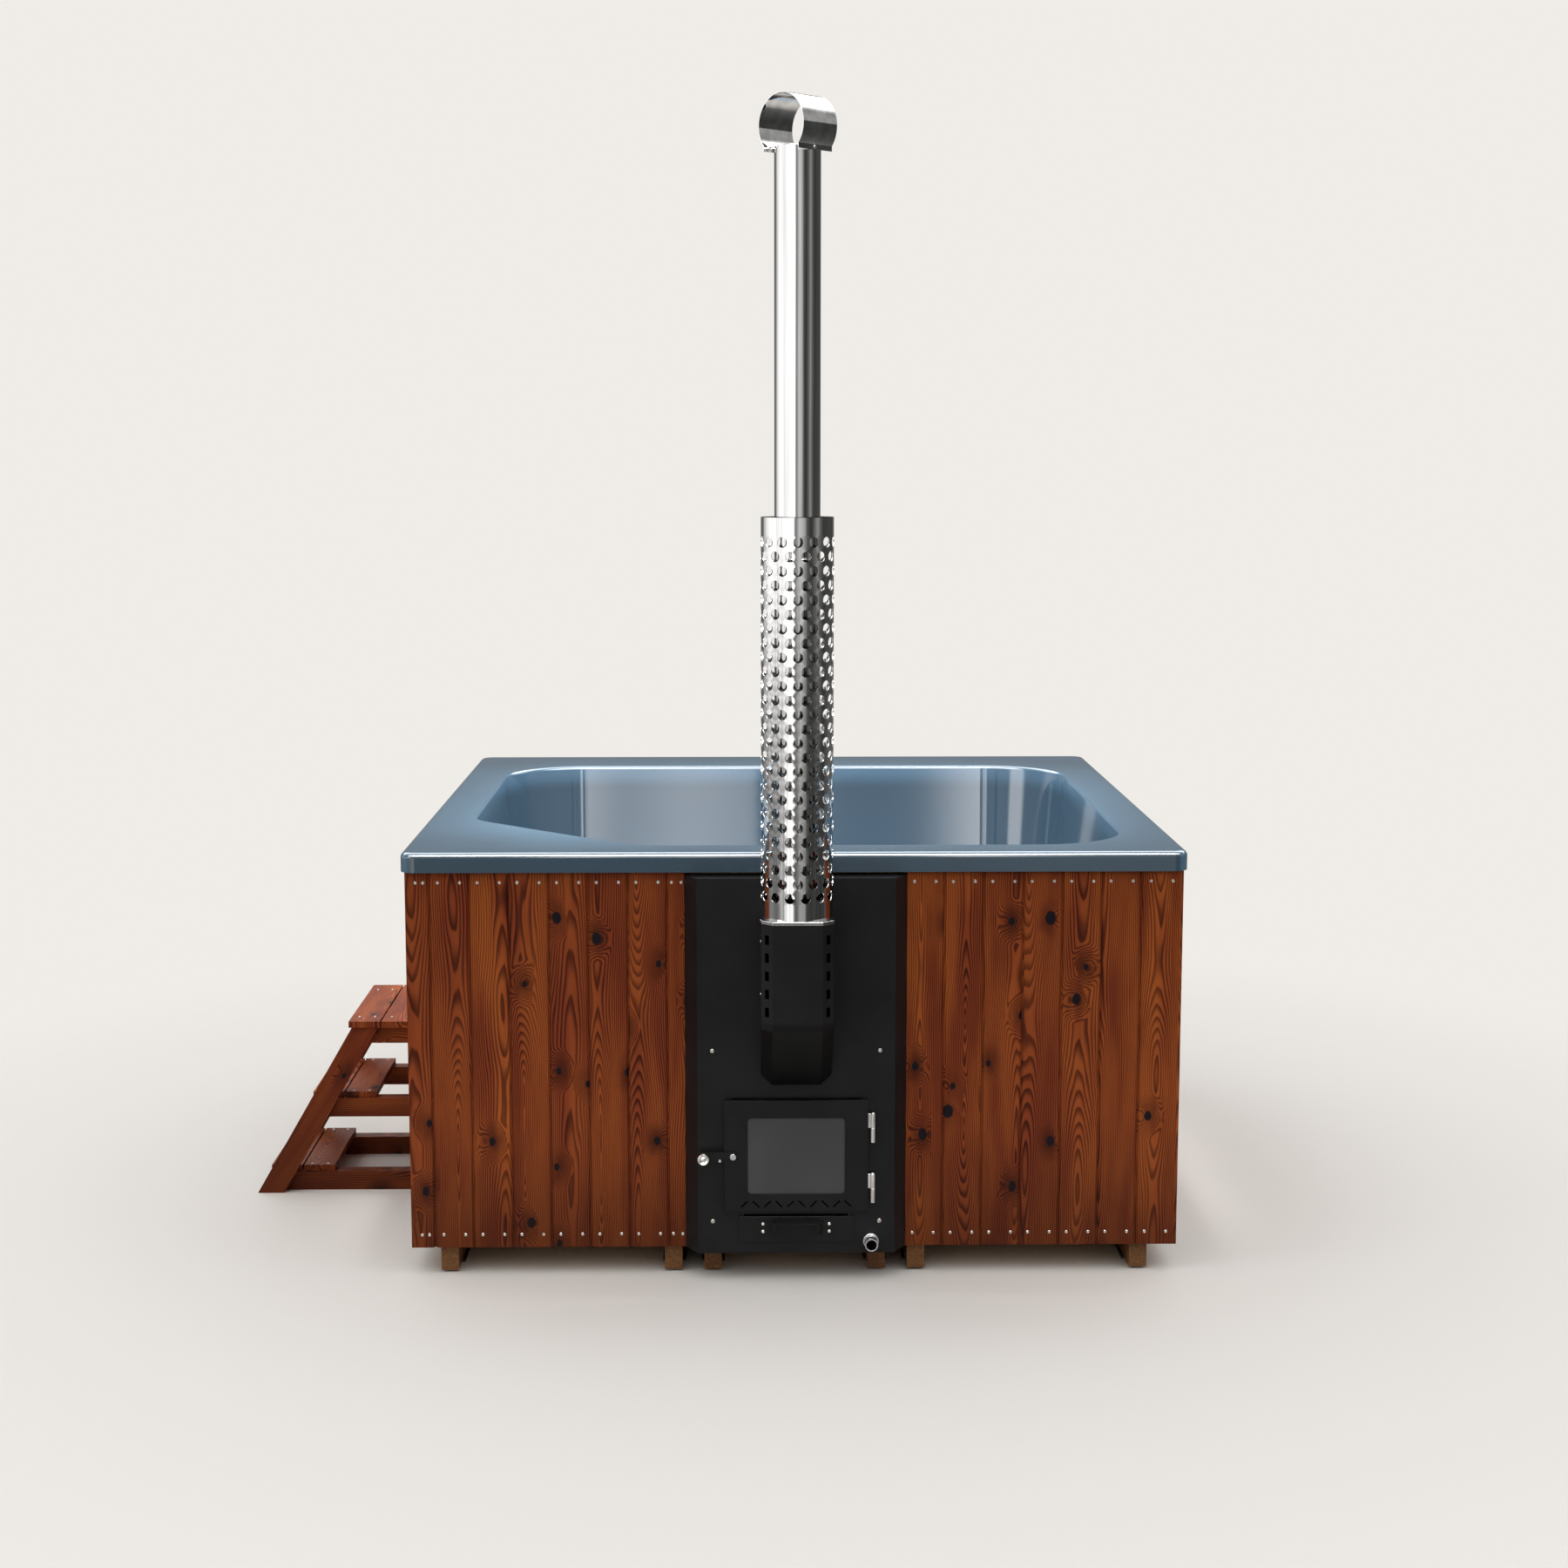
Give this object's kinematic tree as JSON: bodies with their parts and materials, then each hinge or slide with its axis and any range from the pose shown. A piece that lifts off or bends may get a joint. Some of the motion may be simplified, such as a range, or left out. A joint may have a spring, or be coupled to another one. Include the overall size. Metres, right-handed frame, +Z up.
{
  "type": "square hot tub",
  "caption": "Square timber-clad hot tub with a moulded basin, a built-in wood-fired stove with door and ash drawer, a guarded steel chimney, a drain stub and loose timber steps at one side.",
  "frame": {"origin": "On the floor under the tub's centre, on the underside of the middle pad; the steps and the chimney stand outside the tub's square and don't move it.", "axes": "+X to the right of someone facing the stove, +Y from the stove's wall into the tub, +Z up. The stove faces -Y and the steps stand at -X."},
  "size_m": [2.5257, 2.2293, 2.9474],
  "materials": {
    "shell": "glossy",
    "cladding": "oiled",
    "step_wood": "oiled",
    "frame_wood": "sawn",
    "joist_wood": "sawn",
    "board": "matte",
    "foam": "matte",
    "rubber": "matte",
    "black_steel": "satin",
    "stove_steel": "matte",
    "grate_iron": "matte",
    "bright_steel": "bright",
    "mirror_steel": "mirror",
    "screw_steel": "satin",
    "glass": "clear",
    "rope": "matte",
    "tray_steel": "matte",
    "plug_rubber": "satin"
  },
  "bodies": {
    "tub": {"joist_pads": "rubber", "base_joists": "joist_wood", "floor_board": "board", "floor_insulation": "foam", "bottom_rails": "frame_wood", "frame_posts": "frame_wood", "top_rails": "frame_wood", "seat_posts": "frame_wood", "tub_shell": "shell", "cladding_front_left": "cladding", "cladding_front_right": "cladding", "cladding_left": "cladding", "cladding_right": "cladding", "cladding_back": "cladding", "cladding_screws": "screw_steel", "stove_panel": "black_steel", "panel_screws": "screw_steel", "firebox": "stove_steel", "water_jacket": "stove_steel", "fire_grate": "grate_iron", "circulation_pipes": "bright_steel", "circulation_grilles": "bright_steel", "panel_hinge_knuckles": "bright_steel", "hinge_pins": "bright_steel", "catch_stud": "bright_steel", "flue_elbow": "stove_steel", "flue_pipe_lower": "mirror_steel", "flue_pipe_upper": "mirror_steel", "flue_housing": "black_steel", "housing_screws": "bright_steel", "housing_collar": "mirror_steel", "heat_guard": "mirror_steel", "guard_spacers": "bright_steel", "chimney_cap": "mirror_steel", "cap_rivets": "bright_steel", "drain_waste": "bright_steel", "drain_pipe": "bright_steel", "drain_nut": "bright_steel", "step_stringers": "step_wood", "step_rails": "step_wood", "step_posts": "step_wood", "step_treads": "step_wood", "step_screws": "screw_steel"},
    "door": {"door_panel": "black_steel", "door_glass": "glass", "glass_retainer": "stove_steel", "retainer_screws": "screw_steel", "door_seal": "rope", "door_hinge_knuckles": "bright_steel", "latch_bolt": "bright_steel"},
    "latch": {"latch_arm": "black_steel", "latch_knob": "bright_steel"},
    "ash_drawer": {"ash_tray": "tray_steel", "drawer_front": "black_steel", "drawer_handle": "black_steel", "handle_screws": "bright_steel"},
    "plug": {"drain_plug": "plug_rubber"}
  },
  "joints": [
    {"name": "door_swing", "type": "hinge", "parent": "tub", "child": "door", "pos_m": [0.197, -1.058, 0], "axis": [0, 0, 1], "range_deg": [0, 120]},
    {"name": "latch_turn", "type": "hinge", "parent": "door", "child": "latch", "pos_m": [-0.159, -1.062, 0.331], "axis": [0, 1, 0], "range_deg": [0, 30]},
    {"name": "drawer_slide", "type": "slide", "parent": "tub", "child": "ash_drawer", "axis": [0, -1, 0], "range_m": [0, 0.25]},
    {"name": "plug_lift", "type": "slide", "parent": "tub", "child": "plug", "axis": [0, 0, 1], "range_m": [0, 0.06]}
  ]
}
